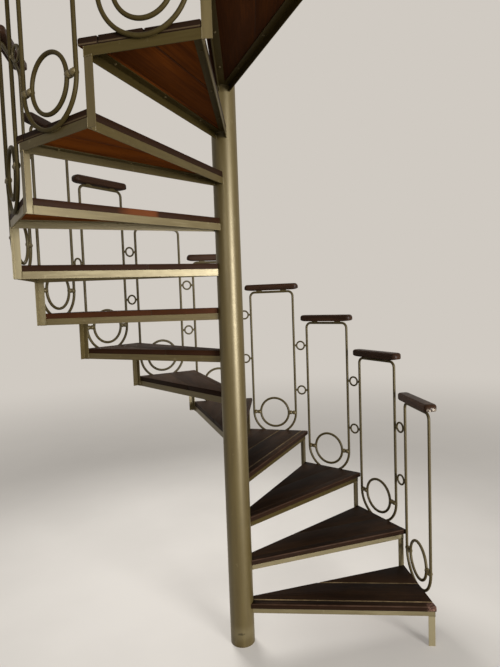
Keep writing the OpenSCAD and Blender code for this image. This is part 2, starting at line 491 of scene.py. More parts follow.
def bronze_paint(
    name, paint, streak, shift=0.0, depth=0.0, pale=0.0, sheen=1.0, light_bands=(), scuff=None
):
    """Brushed bronze paint: streaks along the bar, thin spots, dust and grimy patches. Shift thins
    the paint; a painted shade and a painted highlight darken and lighten it all over, and painted
    light does so between heights."""
    finish = painted(name, paint, sheen)
    place = finish.place()
    wide = finish.noise(place, 2.3, 2.0)
    streaks = finish.noise(finish.stretched(place, streak), 1.0, 4.0, 0.6)
    mottle = finish.noise(place, 38.0, 4.0, 0.65)
    flake = finish.noise(place, 900.0, 2.0, 0.6)
    dull = finish.mix(streaks.ramp(0.30, 0.62), paint.shade, paint.body)
    # Painted highlight: on pale frames the lighter streaks are raised all over and take the worn colour
    bloom_and_highlight = (wide * 0.5 + streaks * 0.5).ramp(0.50, 0.72, pale, 0.4 + pale)
    body = finish.mix(bloom_and_highlight, dull, paint.worn if pale else paint.bloom)
    # Painted light between heights: a highlight where the amount is above zero, a shade where it is
    # below
    for low, high, amount in light_bands:
        level = finish.part(place, "Z")
        light_band = level.ramp(low - LIGHT_BAND_FADE, low) * level.ramp(high + LIGHT_BAND_FADE, high)
        body = finish.mix(light_band * abs(amount), body, paint.worn if amount > 0 else paint.grime_and_shade)
    thin = (mottle + flake * 0.15).ramp(0.72 - shift, 0.84 - shift, 0.0, 0.4)
    rubbed = finish.mix(thin, body, paint.worn)
    # Random patches of dirt, over a painted shade that darkens the whole surface by the given amount
    dirt_and_shade = (mottle * 0.6 + wide * 0.4).ramp(0.43, 0.30, depth, 0.3 + depth)
    dirty_and_shaded = finish.mix(dirt_and_shade, rubbed, paint.grime_and_shade)
    if scuff:
        middle = tuple(a * b for a, b in zip(scuff, SCUFF_FLAT))
        away = finish.vectors("DISTANCE", finish.stretched(place, SCUFF_FLAT), middle, output=1)
        ragged = away + finish.noise(place, 150.0, 3.0, 0.6) * SCUFF_RAGGED
        dirty_and_shaded = finish.mix(away.ramp(*SCUFF_RUB, 0.0, 0.2), dirty_and_shaded, paint.worn)
        dirty_and_shaded = finish.mix(ragged.ramp(*SCUFF_CHIP, 0.0, 0.9), dirty_and_shaded, paint.grime_and_shade)
    dusty = finish.mix(finish.facing().ramp(0.6, 1.0, 0.0, 0.25), dirty_and_shaded, paint.worn)
    rough = paint.roughness - 0.06 + mottle * 0.16 + dirt_and_shade * 0.2
    metal = paint.metallic - dirt_and_shade * 0.25
    relief = finish.bump(streaks * 0.3 + mottle * 0.4 + flake * 0.3, 0.0002, 0.5)
    return finish.surface(Base_Color=dusty, Roughness=rough, Metallic=metal, Normal=relief)


def tread_wood(timber):
    """Stained planks: dark varnished top, redder edges, warm brown underside."""
    finish = Finish("tread_wood", Specular_IOR_Level=timber.sheen_level)
    grain = finish.attribute("grain", "Vector")
    lift = finish.attribute("lift")
    tone = finish.attribute("tone")
    warmth = finish.attribute("warmth")
    facing = finish.facing()
    outer = finish.vectors("DOT_PRODUCT", finish.normal(), finish.place(), output=1)
    sway = finish.noise(finish.stretched(grain, (2.0, 14.0, 14.0)), 1.0, 3.0, 0.5, 0.6)
    fibre = finish.noise(finish.stretched(grain, (7.0, 190.0, 190.0)), 1.0, 4.0, 0.6, 0.2)
    pores = finish.noise(finish.stretched(grain, (30.0, 900.0, 900.0)), 1.0, 2.0, 0.6)
    figure = (sway * 0.55 + fibre * 0.45 + (tone - 0.5) * 0.16).ramp(0.36, 0.66)
    worn = finish.noise(grain, 9.0, 4.0, 0.6)
    top = finish.mix(figure * 0.8 + worn.ramp(0.5, 0.75, 0.0, 0.3), timber.top, timber.top_light)
    under = finish.mix(figure, timber.under_dark, timber.under)
    # Painted shade: below zero the underside is darkened towards the top's colour
    under = finish.mix(warmth * -0.35, under, timber.top)
    side = finish.mix(lift.ramp(0.35, 0.75), timber.edge_low, timber.edge)
    side = finish.mix(warmth * (0.45 + worn * 0.9), side, timber.warm)
    # Painted shade: below zero the edges are darkened towards the top's colour
    side = finish.mix(warmth * -1.0, side, timber.top)
    side = finish.mix(figure * 0.35, side, timber.top)
    upper = finish.mix(facing.ramp(0.25, 0.85), side, top)
    # Rubbed wear and a painted highlight: the slanted faces of the rounded upper edges take the nose
    # colour
    rubbed_and_highlit_edge = facing.ramp(0.2, 0.6) * facing.ramp(0.99, 0.9) * finish.attribute("rub")
    upper = finish.mix(rubbed_and_highlit_edge * worn.ramp(0.3, 0.6, 0.2, 0.8), upper, timber.nose)
    # Faces turned down take the underside colours, with their painted bounce light
    wood = finish.mix(facing.ramp(-0.75, -0.97), upper, under)
    line = finish.attribute("open") * lift.ramp(0.36, 0.28) * lift.ramp(0.12, 0.18)
    wood = finish.mix(line * outer.ramp(0.3, 0.6) * 0.19, wood, timber.filler)
    spots = finish.noise(grain, 190.0, 3.0, 0.6).ramp(0.42, 0.62)
    wood = finish.mix(finish.attribute("chipped") * spots * 0.8, wood, timber.bare)
    lost = finish.mix(pores.ramp(0.60, 0.75, 0.0, 0.4), wood, timber.under_dark)
    rough = timber.gloss - 0.08 + worn * 0.14 + pores * 0.08 + facing.ramp(0.0, -0.8, 0.0, 0.2)
    relief = finish.bump(fibre * 0.6 + pores * 0.4, 0.0003, 0.7)
    return finish.surface(Base_Color=lost, Roughness=rough, Normal=relief)


def joint_filler(timber):
    """Filler that shows as a thin lighter line between the planks."""
    finish = Finish("joint_filler", Specular_IOR_Level=timber.sheen_level)
    grain = finish.attribute("grain", "Vector")
    speckle = finish.noise(grain, 160.0, 3.0, 0.6)
    patches = finish.noise(grain, 22.0, 2.0)
    shows = finish.attribute("tone") * patches.ramp(0.65, 0.35, 0.55, 1.0)
    shade = finish.mix(shows, timber.top, timber.filler)
    spotted = finish.mix(speckle.ramp(0.5, 0.7, 0.0, 0.5), shade, timber.top)
    # Painted shade: below zero the filler's underside is darkened towards the top's colour
    under = finish.mix(finish.attribute("warmth") * -0.35, timber.under_dark, timber.top)
    spotted = finish.mix(finish.facing().ramp(-0.25, -0.8), spotted, under)
    relief = finish.bump(speckle, 0.0002, 0.6)
    rough = 0.5 + speckle * 0.2
    return finish.surface(Base_Color=spotted, Roughness=rough, Normal=relief)


def grip_wood(grip):
    """Varnished wood that hands have rubbed."""
    finish = Finish("grip_wood", Coat_Weight=0.04, Coat_Roughness=0.25, Specular_IOR_Level=0.08)
    grain = finish.attribute("grain", "Vector")
    tone = finish.attribute("tone")
    facing = finish.facing()
    sway = finish.noise(finish.stretched(grain, (30.0, 4.0, 30.0)), 1.0, 3.0, 0.5, 0.7)
    fibre = finish.noise(finish.stretched(grain, (260.0, 9.0, 260.0)), 1.0, 4.0, 0.6)
    rub = finish.noise(grain, 16.0, 4.0, 0.6)
    fleck = finish.noise(grain, 130.0, 2.0, 0.5)
    figure = (sway * 0.5 + fibre * 0.5 + (tone - 0.5) * 0.2).ramp(0.35, 0.68)
    wood = finish.mix(figure * 0.75, grip.wood, grip.grain)
    touched = facing.ramp(0.4, 1.0) * rub.ramp(0.50, 0.72)
    shown = finish.mix(touched * 0.45, wood, grip.worn)
    # A pale patch at the lower end of the lowest grip
    pale_patch = finish.attribute("chipped") * fleck.ramp(0.40, 0.56)
    shown = finish.mix(pale_patch * 0.9, shown, grip.bare)
    rough = grip.roughness + rub * 0.14 - touched * 0.05 + facing.ramp(-0.2, -0.8, 0.0, 0.5)
    relief = finish.bump(fibre, 0.00025, 0.6)
    return finish.surface(Base_Color=shown, Roughness=rough, Normal=relief)


def weld_metal(paint):
    """Painted weld metal, made once: the bronze paint over a rippled, darker bead."""
    made = bpy.data.materials.get("weld_paint")
    if made:
        return made
    finish = painted("weld_paint", paint)
    place = finish.place()
    lumps = finish.noise(place, 210.0, 3.0, 0.6)
    spots = finish.noise(place, 640.0, 2.0, 0.6)
    body = finish.mix(lumps.ramp(0.36, 0.64), paint.shade, paint.body)
    bright = finish.mix(spots.ramp(0.56, 0.70, 0.0, 0.7), body, paint.worn)
    relief = finish.bump(lumps, 0.0006, 0.7)
    rough = paint.roughness + lumps * 0.2
    metal = paint.metallic - spots * 0.2
    return finish.surface(Base_Color=bright, Roughness=rough, Metallic=metal, Normal=relief)


# Making meshes

# Distances under which points count as one, as joined, as on a cutting plane, as on the front
# edge and as reached along a path, and the length over which an edge counts as a long one
SAME_POINT = 1e-6
JOINED = 0.00002
SAME_PLANE = 1e-7
ON_EDGE = 1e-5
REACHED = 1e-9
LONG_EDGE = 0.1

# Angles under which two faces count as one, and over which their edge counts as sharp
NOT_BENT = 0.01
SHARP = math.radians(40)

# Where the grain starts: its range for boards and grips, the step from plank to plank, and
# how the start is shared out over the three directions
BOARD_GRAIN = 40
GRIP_GRAIN = 30
PLANK_STEP = 3.1
BOARD_SHARES = (1.0, 0.37, 0.61)
GRIP_SHARES = (1.0, 0.4, 0.7)

# Weld beads, as shares of their radius: steps along, ripple, unevenness, and size at the ends
BEAD_SIDES = 7
BEAD_STEP = 0.55
BEAD_FEWEST = 4
RIPPLE = 0.16
RIPPLE_STEPS = 4
UNEVEN = 0.07
JOG = 0.08
BEAD_END = 0.45

# Steps round the weld under the pole's cap and round a small stub, along the weld at the pole
# and along the one under a hoop
CAP_STEPS = 48
STUB_STEPS = 12
POLE_WELD_STEPS = 12
FOOT_WELD_STEPS = 8

# Lumps of weld: points round, bands along, how blunt they are, and unevenness
KNOB_SIDES = 14
KNOB_BANDS = 9
KNOB_BLUNT = 0.45
KNOB_UNEVEN = (0.92, 1.05)

# Where welds lie on a round bar, as shares of its radius, how far the weld under a hoop runs
# to either side, and how far welds at a stub's end lie off the bar and over the stub
FOOT_WELD_IN = 0.8
FOOT_WELD_OUT = 0.55
FOOT_WELD_SWEEP = math.radians(15)
TAB_WELD_UP = 0.62
STUB_WELD_OFF = 0.0008
STUB_WELD_OVER = 0.0003

# A screw's head from its hollow to its rim: distance from the middle and height, as shares
# of its radius
SCREW_SIDES = 18
SCREW_PROFILE = (
    (0.42, 0.33), (0.46, 0.57), (0.70, 0.54), (0.92, 0.372), (1.0, 0.12), (1.0, -0.06)
)


def spread(low, high, steps):
    """Values at equal steps from low to high."""
    return [low + (high - low) * i / steps for i in range(steps + 1)]


def add_piece(name, bm, finish, replaced=(), sharp=35.0):
    """Turns the bmesh into a named piece that rides on the staircase."""
    bmesh.ops.recalc_face_normals(bm, faces=bm.faces)
    mesh = bpy.data.meshes.new(name)
    bm.to_mesh(mesh)
    bm.free()
    mesh.materials.append(finish)
    mesh.shade_smooth()
    mesh.set_sharp_from_angle(angle=math.radians(sharp))
    piece = add_object(name, mesh)
    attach(piece, "root")
    if replaced:
        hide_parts(*replaced)


def add_object(name, data):
    """A new object in the scene."""
    made = bpy.data.objects.new(name, data)
    bpy.context.scene.collection.objects.link(made)
    return made


def paint_node(name, finish):
    """Gives a frame node its finish."""
    mesh = NODES[name].data
    mesh.materials.clear()
    mesh.materials.append(finish)


def soften_edges(name, width):
    """Rounds the drawn edges of an angle bar; the frame's own mesh stays as it is."""
    piece = NODES[name]
    bpy.context.view_layer.objects.active = piece
    bpy.ops.mesh.customdata_custom_splitnormals_clear()
    piece.data.shade_smooth()
    weld = piece.modifiers.new("join_faces", "WELD")
    weld.merge_threshold = JOINED
    bevel = piece.modifiers.new("edge_round", "BEVEL")
    bevel.width = width
    bevel.segments = 2
    bevel.limit_method = "ANGLE"
    bevel.angle_limit = SHARP
    bevel.harden_normals = True


def neighbours(items, closed=False):
    """Each item with the next one, and the last with the first on a closed path."""
    return list(zip(items, items[1:] + items[:1] if closed else items[1:]))


def spokes(across, up, count):
    """Directions at equal steps round a circle."""
    angles = [k * math.tau / count for k in range(count)]
    return [across * math.cos(a) + up * math.sin(a) for a in angles]


def circle(centre, across, up, radius, steps):
    """Points round a circle."""
    return [centre + spoke * radius for spoke in spokes(across, up, steps)]


def bridge(bm, one, two, shift=0):
    """Joins two rings of points with faces; shift turns the second ring."""
    count = len(one)
    for k in range(count):
        after = (k + 1) % count
        bm.faces.new((one[k], one[after], two[(after + shift) % count], two[(k + shift) % count]))


def skin(bm, rings, closed=False):
    """Joins rings of points, each turned to fit the one before, and caps open ends."""
    steps = range(len(rings[0]))
    for one, two in neighbours(rings, closed):
        shift = min(
            steps, key=lambda s: sum((one[k].co - two[(k + s) % len(two)].co).length for k in steps)
        )
        bridge(bm, one, two, shift)
    if not closed:
        bm.faces.new(rings[0])
        bm.faces.new(rings[-1])


def point_along(legs, distance):
    """The point at that distance from the start of a path."""
    for start, end in legs:
        span = (end - start).length
        if distance <= span + REACHED:
            break
        distance -= span
    return start.lerp(end, min(distance / span, 1.0))


def bead(bm, points, radius, rng, closed=False):
    """A rippled weld bead along a path of points."""
    legs = neighbours(points, closed)
    total = sum((end - start).length for start, end in legs)
    count = max(int(total / (radius * BEAD_STEP)), BEAD_FEWEST)
    last = count - 1 if closed else count
    centres = [point_along(legs, total * i / count) for i in range(last + 1)]
    rings = []
    for i, centre in enumerate(centres):
        before = centres[i - 1] if closed or i else centre
        after = centres[(i + 1) % len(centres)] if closed or i < last else centre
        along = (after - before).normalized()
        across = along.orthogonal().normalized()
        swell = 1 - RIPPLE + RIPPLE * math.cos(i * math.tau / RIPPLE_STEPS)
        swell += rng.uniform(-UNEVEN, UNEVEN)
        if not closed and i in (0, last):
            swell *= BEAD_END
        jog = across * rng.uniform(-JOG, JOG) * radius
        rings.append([
            bm.verts.new(centre + jog + spoke * radius * swell)
            for spoke in spokes(across, along.cross(across), BEAD_SIDES)
        ])
    skin(bm, rings, closed)


def knob(bm, centre, axis, reach, half, rng):
    """A lump of weld round the end of a stub: reach across the axis, half the length along it."""
    across = axis.orthogonal().normalized()
    rings = []
    for i in range(1, KNOB_BANDS):
        a = math.pi * i / KNOB_BANDS
        middle = centre + axis * (-half * math.cos(a))
        width = math.sin(a) ** KNOB_BLUNT
        rings.append([
            bm.verts.new(middle + spoke * reach * width * rng.uniform(*KNOB_UNEVEN))
            for spoke in spokes(across, axis.cross(across), KNOB_SIDES)
        ])
    skin(bm, rings)


def pole_meeting(inset):
    """Where the edge of a tread's frame, moved inward by inset, runs into the pole."""
    start = half_at(0.0, inset)
    steep = 1 + SLOPE**2
    u = (math.sqrt(steep * POLE_R**2 - start**2) - SLOPE * start) / steep
    return Vector((u, half_at(u, inset), 0))


def upright(place, low, high):
    """A line straight up, between two heights over a place."""
    return [place + Vector((0, 0, z)) for z in (low, high)]


def frame_weld_paths():
    """Welds of one tread frame in the tread's own frame: (points, kind of weld)."""
    meet = pole_meeting(0.0)
    within = pole_meeting(LEG_T)
    paths = []
    for side in (-1, 1):
        corner = Vector((OUTER_U, side * OUTER_HALF, 0))
        mitre = [
            Vector((OUTER_U - inset, side * half_at(OUTER_U - inset, inset), FLAT_LOW))
            for inset in (LEG, LEG_T)
        ]
        foot = Vector((meet.x, side * meet.y, 0))
        inside = Vector((within.x, side * within.y, 0))
        paths += [
            (upright(corner, FRAME_LOW, -BOARD_T), "seam"),
            (mitre, "seam"),
            (upright(foot, FRAME_LOW, -BOARD_T), "bead"),
            (upright(inside, FRAME_LOW, FLAT_LOW), "bead"),
        ]
    sweep = math.atan2(within.y, within.x)
    arc = [
        Vector((POLE_R * math.cos(a), POLE_R * math.sin(a), FLAT_LOW))
        for a in spread(-sweep, sweep, POLE_WELD_STEPS)
    ]
    return [*paths, (arc, "bead")]


def post_weld_paths():
    """Welds of the post that stands behind tread n, in that tread's own frame."""
    heel = Vector((OUTER_U, OUTER_HALF, 0))
    inward = Vector((-math.cos(EDGE), -math.sin(EDGE), 0))
    back = Vector((-math.sin(EDGE), math.cos(EDGE), 0))
    top = Vector((0, 0, RISE + FRAME_LOW))
    low = Vector((0, 0, FRAME_LOW))
    return [
        ([heel + inward * LEG + top, heel + top, heel + back * LEG + top], "bead"),
        (upright(heel + inward * LEG + back * LEG_T, FRAME_LOW, -BOARD_T), "bead"),
        ([heel + inward * LEG + low, heel + low], "seam"),
    ]


def rail_weld_paths():
    """Welds of one hoop in its tread's own frame."""
    middle = Vector((RAIL_U, HOOP_SHIFT, RING_LEVEL))
    reach = HOOP_R + BAR_R * FOOT_WELD_OUT
    below = [
        middle + Vector((-BAR_R * FOOT_WELD_IN, reach * math.sin(a), -reach * math.cos(a)))
        for a in spread(-FOOT_WELD_SWEEP, FOOT_WELD_SWEEP, FOOT_WELD_STEPS)
    ]
    paths = [(below, "bead")]
    for side in (-1, 1):
        for face in (-1, 1):
            start = Vector((
                RAIL_U + face * TAB_W / 2,
                HOOP_SHIFT + side * TAB_PLACE - TAB_L / 2,
                HOOP_TOP + BAR_R * TAB_WELD_UP,
            ))
            paths.append(([start, start + Vector((0, TAB_L, 0))], "seam"))
    return paths


def ring_knobs():
    """Middles of the weld lumps at the stubs of the big ring, in its tread's own frame."""
    return [
        Vector((RAIL_U, HOOP_SHIFT + side * place, RING_LEVEL))
        for side in (-1, 1)
        for place in (RING_R - BAR_R + KNOB_PAST, HOOP_R - KNOB_PAST)
    ]


def link_weld_paths(n):
    """Welds of the small rings between hoops n and n + 1, in the stair's own frame."""
    here = tread_place(n) @ Vector((RAIL_U, HOOP_SHIFT + HOOP_R, 0))
    there = tread_place(n + 1) @ Vector((RAIL_U, HOOP_SHIFT - HOOP_R, 0))
    there.z = here.z
    along = (there - here).normalized()
    up = Vector((0, 0, 1))
    across = along.cross(up)
    span = (there - here).length
    spots = (
        (BAR_R + STUB_WELD_OFF, LINK_STUB_R + STUB_WELD_OVER),
        (span - BAR_R - STUB_WELD_OFF, LINK_STUB_R + STUB_WELD_OVER),
        (span / 2 - LINK_R, LINK_STUB_R),
        (span / 2 + LINK_R, LINK_STUB_R),
    )
    return [
        (circle(here + along * reach + up * level, across, up, radius, STUB_STEPS), "round seam")
        for level in LINK_LEVELS
        for reach, radius in spots
    ]


# Boards and grips

# Grips: rows of points along the straight sides, as shares of half of one, steps round a
# corner and up a rounded edge, by which share of its inset a ring's corners are tighter, how
# much of its ends stays straight, and how far the curve below an end reaches, as a multiple
# of the rounding above it
GRIP_ROWS = (0.8, 0.86, 0.93)
CORNER_STEPS = 7
EDGE_STEPS = 6
CORNER_TIGHTER = 0.5
END_STRAIGHT = 0.0005
LIFT_REACH = 2.5


class Board:
    """Tread n's board: its directions and edges, the drawn solid, and what its points carry."""

    def __init__(self, n):
        turn = Matrix.Rotation(tread_turn(n), 3, "Z")
        self.n = n
        self.along = turn @ Vector((math.cos(EDGE), -math.sin(EDGE), 0))
        self.front = turn @ Vector((-math.sin(EDGE), -math.cos(EDGE), 0))
        self.rear = turn @ Vector((-math.sin(EDGE), math.cos(EDGE), 0))
        self.outward = turn @ Vector((1, 0, 0))
        self.lip = turn @ Vector((OUTER_U, -half_at(OUTER_U, -NOSING), 0))
        self.back = turn @ Vector((OUTER_U, half_at(OUTER_U, BOARD_INSET + FILLER_SHY), 0))
        self.top = n * RISE

    def joints(self, timber):
        """Distances of the two joints from the front edge, and half their width."""
        strip = STRIPS.get(self.n, timber.strip_w)
        half = JOINTS.get(self.n, timber.joint_w) / 2
        return [strip, strip + PLANKS.get(self.n, timber.plank_w)], half

    def solid(self):
        """The drawn board as a bmesh, without the edges inside its flat faces."""
        bm = bmesh.new()
        bm.from_mesh(NODES["tread_board_" + number(self.n)].data)
        bmesh.ops.remove_doubles(bm, verts=bm.verts, dist=SAME_POINT)
        bmesh.ops.dissolve_limit(bm, angle_limit=NOT_BENT, verts=bm.verts, edges=bm.edges)
        return bm

    def behind(self, distance):
        """A point at that distance behind the front edge."""
        return self.lip - self.front * distance

    def warmth(self, reach):
        """How warm the rear edge looks at that distance from the pole's axis; below zero, how much
        painted shade its edges and underside get.
        """
        low, high = RUBBED_FROM + RUBBED_MARGIN, RUBBED_TO - RUBBED_MARGIN
        if self.n == RUBBED_TREAD and low < reach < high:
            return 1.0
        return EDGE_WARMTH_AND_SHADE.get(self.n, 0.0)

    def stamp(self, bm, tone, seed, rub=0.0, chipped=False):
        """Writes each point's place in the grain and the board, the tone and the wear."""
        grain = bm.verts.layers.float_vector.new("grain")
        names = ("lift", "tone", "warmth", "rub", "chipped", "open")
        layers = [bm.verts.layers.float.new(name) for name in names]
        for vert in bm.verts:
            reach = vert.co.dot(self.outward)
            place = (vert.co.dot(self.along), vert.co.dot(self.front), vert.co.z)
            vert[grain] = [at + seed * share for at, share in zip(place, BOARD_SHARES)]
            lift = (vert.co.z - (self.top - BOARD_T)) / BOARD_T
            chip = chipped and reach > OUTER_U - CHIP_L
            values = (lift, tone, self.warmth(reach), rub, chip, self.n in OPEN_EDGES)
            for layer, value in zip(layers, values):
                vert[layer] = value


def cut(bm, point, normal, away=True):
    """Cuts along a plane; away also drops what lies beyond it and closes the cut."""
    bmesh.ops.bisect_plane(
        bm, geom=bm.verts[:] + bm.edges[:] + bm.faces[:], dist=SAME_PLANE,
        plane_co=point, plane_no=normal, clear_outer=away,
    )
    if away:
        bmesh.ops.holes_fill(bm, edges=bm.edges[:], sides=0)


def pour(bm, whole):
    """Moves everything in one bmesh over to another."""
    part = bpy.data.meshes.new("part")
    bm.to_mesh(part)
    bm.free()
    whole.from_mesh(part)
    bpy.data.meshes.remove(part)


def sharp_edges(bm):
    """Edges at which two faces meet at a clear angle."""
    return [e for e in bm.edges if len(e.link_faces) == 2 and e.calc_face_angle(0.0) > SHARP]


def round_edges(bm, edges, radius, segments, clamp):
    """Rounds edges; clamp stops the rounding where two edges are too close for it."""
    bmesh.ops.bevel(
        bm, geom=edges, offset=radius, segments=segments, profile=0.5, affect="EDGES",
        clamp_overlap=clamp,
    )


def nose_edges(bm, board):
    """The long edges above and below along the board's front."""
    return [
        e for e in sharp_edges(bm)
        if all((v.co - board.lip).dot(board.front) > -ON_EDGE for v in e.verts)
        and abs((e.verts[0].co - e.verts[1].co).dot(board.along)) > LONG_EDGE
    ]


def board_planks(n, timber, rng):
    """The planks of tread n, as one bmesh, from the front strip to the rear."""
    board = Board(n)
    joints, half = board.joints(timber)
    easing = timber.edge_r * (OPEN_JOINT_EASING if n in FILLER_DEPTH else 1.0)
    whole = bmesh.new()
    seed = rng.uniform(0, BOARD_GRAIN)
    for k in range(len(joints) + 1):
        strip = k == 0
        rearmost = k == len(joints)
        bm = board.solid()
        if not strip:
            cut(bm, board.behind(joints[k - 1] + half), board.front)
        if not rearmost:
            cut(bm, board.behind(joints[k] - half), -board.front)
        if strip:
            round_edges(bm, nose_edges(bm, board), timber.nose_r, segments=4, clamp=False)
        round_edges(bm, sharp_edges(bm), easing, segments=2, clamp=True)
        chipped = strip and n == CHIPPED_TREAD
        lines = []
        if n == RUBBED_TREAD and rearmost:
            near, far = RUBBED_FADES
            lines = [RUBBED_FROM, RUBBED_FROM + near, RUBBED_TO - far, RUBBED_TO]
        elif chipped:
            lines = [OUTER_U - CHIP_L * share for share in CHIP_CUTS]
        for reach in lines:
            cut(bm, board.outward * reach, board.outward, away=False)
        front_rub = RUB_MOST if n <= RUBBED_NOSES else RUB_FRONT
        rub = front_rub if strip else RUB_BEHIND
        board.stamp(bm, rng.random(), seed + PLANK_STEP * k, rub, chipped)
        pour(bm, whole)
    return whole


def filler_strips(n, timber, rng):
    """Filler in the two joints of tread n, a little below the top and inside the edges."""
    board = Board(n)
    joints, half = board.joints(timber)
    up = Vector((0, 0, 1))
    whole = bmesh.new()
    for joint in joints:
        bm = board.solid()
        cut(bm, board.behind(joint - half - FILLER_BITE), board.front)
        cut(bm, board.behind(joint + half + FILLER_BITE), -board.front)
        cut(bm, board.outward * (OUTER_U - BOARD_INSET - FILLER_SHY), board.outward)
        cut(bm, board.back, board.rear)
        cut(bm, up * (board.top - FILLER_DEPTH.get(n, FILLER_SINK)), up)
        cut(bm, up * (board.top - BOARD_T + FILLER_SINK), -up)
        board.stamp(bm, FILLER_SHOWS.get(n, FILLER_FAINT), rng.uniform(0, BOARD_GRAIN))
        pour(bm, whole)
    return whole


def grip_outline(inset):
    """Points round a grip seen from above, moved inward by inset, in rows across it."""
    half_w = GRIP_W / 2 - inset
    r = min(GRIP_CORNER_R - inset * CORNER_TIGHTER, half_w - END_STRAIGHT)
    straight = GRIP_L / 2 - inset - r
    rows = [(half_w, straight * share) for share in GRIP_ROWS]
    for a in spread(0.0, math.pi / 2, CORNER_STEPS):
        rows.append((half_w - r + r * math.cos(a), straight + r * math.sin(a)))
    rows = [(x, -y) for x, y in reversed(rows)] + rows
    return rows + [(-x, y) for x, y in reversed(rows)]


def grip_height(grip, along, height):
    """Height of a grip's point, once its ends are rounded above and curved up below."""
    past = max(abs(along) - (GRIP_L / 2 - grip.end_round), 0.0)
    top = GRIP_H - grip.end_round + math.sqrt(max(grip.end_round**2 - past**2, 0.0))
    reach = LIFT_REACH * grip.end_round
    rise = max(abs(along) - (GRIP_L / 2 - reach), 0.0) / reach
    low = grip.end_lift * rise * rise
    return low + (top - low) * height / GRIP_H


def grip_levels(grip):
    """Inset and height of a grip's rings, eased below and well rounded above."""
    quarter = spread(0.0, math.pi / 2, EDGE_STEPS)
    low, top = grip.low_round, grip.top_round
    below = [(low * (1 - math.sin(a)), low * (1 - math.cos(a))) for a in quarter]
    above = [(top * (1 - math.cos(a)), GRIP_H - top * (1 - math.sin(a))) for a in quarter]
    return below + above


def grip_mesh(bm, n, grip, rng):
    """One grip, round at its ends, over the hoop of tread n."""
    floor = HOOP_TOP + BAR_R + GRIP_GAP
    place = tread_place(n) @ Matrix.Translation((RAIL_U, HOOP_SHIFT, floor))
    rings = [
        [bm.verts.new(Vector((x, y, grip_height(grip, y, height)))) for x, y in grip_outline(inset)]
        for inset, height in grip_levels(grip)
    ]
    for one, two in neighbours(rings):
        bridge(bm, one, two)
    for ring in (rings[0], rings[-1]):
        half = len(ring) // 2
        for k in range(half - 1):
            bm.faces.new((ring[k], ring[k + 1], ring[-k - 2], ring[-k - 1]))
    seed = rng.uniform(0, GRIP_GRAIN)
    tone = rng.random()
    grain = bm.verts.layers.float_vector["grain"]
    shade = bm.verts.layers.float["tone"]
    chipped = bm.verts.layers.float["chipped"]
    for vert in sum(rings, []):
        at_end = vert.co.y < GRIP_PATCH_L - GRIP_L / 2 and vert.co.z < GRIP_H * GRIP_PATCH_H
        vert[chipped] = n == CHIPPED_TREAD and at_end
        vert[grain] = vert.co + Vector([seed * share for share in GRIP_SHARES])
        vert[shade] = tone
        vert.co = place @ vert.co


def screw_head(bm, place, radius):
    """A pan head with a hollow for the driver, facing down."""
    x, y, z = Vector((radius, 0, 0)), Vector((0, radius, 0)), Vector((0, 0, radius))
    skin(bm, [
        [
            bm.verts.new(place @ (spoke * reach - z * height))
            for spoke in spokes(x, y, SCREW_SIDES)
        ]
        for reach, height in SCREW_PROFILE
    ])


# Operators


class STAIR_OT_pole(bpy.types.Operator):
    """Paints the pole, its foot plate and its cap"""

    bl_idname = "stair.pole"
    bl_label = "Pole"

    def execute(self, context):
        paint = context.scene.stair_paint
        join = context.scene.stair_join
        finish = bronze_paint("bronze_pole", paint, streak=(34.0, 34.0, 2.2), scuff=SCUFF)
        for name in ("centre_pole", "pole_foot_plate", "pole_cap"):
            paint_node(name, finish)
        bm = bmesh.new()
        ring = circle(Vector((0, 0, POLE_TOP)), Vector((1, 0, 0)), Vector((0, 1, 0)), POLE_R, CAP_STEPS)
        bead(bm, ring, join.seam_r, random.Random(join.seed), closed=True)
        add_piece("cap_weld", bm, weld_metal(paint), sharp=60)
        return {"FINISHED"}


class STAIR_OT_steelwork(bpy.types.Operator):
    """Paints the tread frames and the corner posts, and rounds the edges of their angle bar"""

    bl_idname = "stair.steelwork"
    bl_label = "Frames and posts"

    def execute(self, context):
        paint = context.scene.stair_paint
        finishes = {}
        # Painted light on the frames: a painted highlight where the tone is above zero, a painted shade
        # with a duller reflection where it is below
        for k, tone in enumerate(sorted({0.0, *FRAME_PAINTED_LIGHT.values()})):
            shaded = max(-tone, 0.0)
            finishes[tone] = bronze_paint(
                f"bronze_frame_{k}", paint, streak=(9.0, 9.0, 120.0), shift=0.02,
                depth=shaded, pale=max(tone, 0.0), sheen=1.0 - SHADE_DULLS * shaded,
            )
        # The posts get painted highlight and painted shade between heights
        post = bronze_paint(
            "bronze_post", paint, streak=(60.0, 60.0, 6.0), shift=0.02, light_bands=POST_LIGHT_BANDS
        )
        for n in ALL_TREADS:
            paint_node("tread_frame_" + number(n), finishes[FRAME_PAINTED_LIGHT.get(n, 0.0)])
            soften_edges("tread_frame_" + number(n), paint.edge_round)
        paint_node("corner_posts", post)
        soften_edges("corner_posts", paint.edge_round)
        return {"FINISHED"}


class STAIR_OT_rails(bpy.types.Operator):
    """Paints the hoops and the small rings"""

    bl_idname = "stair.rails"
    bl_label = "Hoops and rings"

    def execute(self, context):
        paint = context.scene.stair_paint
        # The hoops get a painted shade and a duller reflection, deeper from the upper treads on
        bar = {"streak": (90.0, 90.0, 10.0), "shift": 0.03}
        finish = bronze_paint("bronze_rail", paint, **bar, depth=paint.depth, sheen=0.6)
        darker = bronze_paint("bronze_rail_high", paint, **bar, depth=paint.shade_depth_high, sheen=0.2)
        for n in ALL_TREADS:
            paint_node("rail_panel_" + number(n), darker if n >= SHADED_RAILS_FROM else finish)
        paint_node("link_rings", finish)
        return {"FINISHED"}


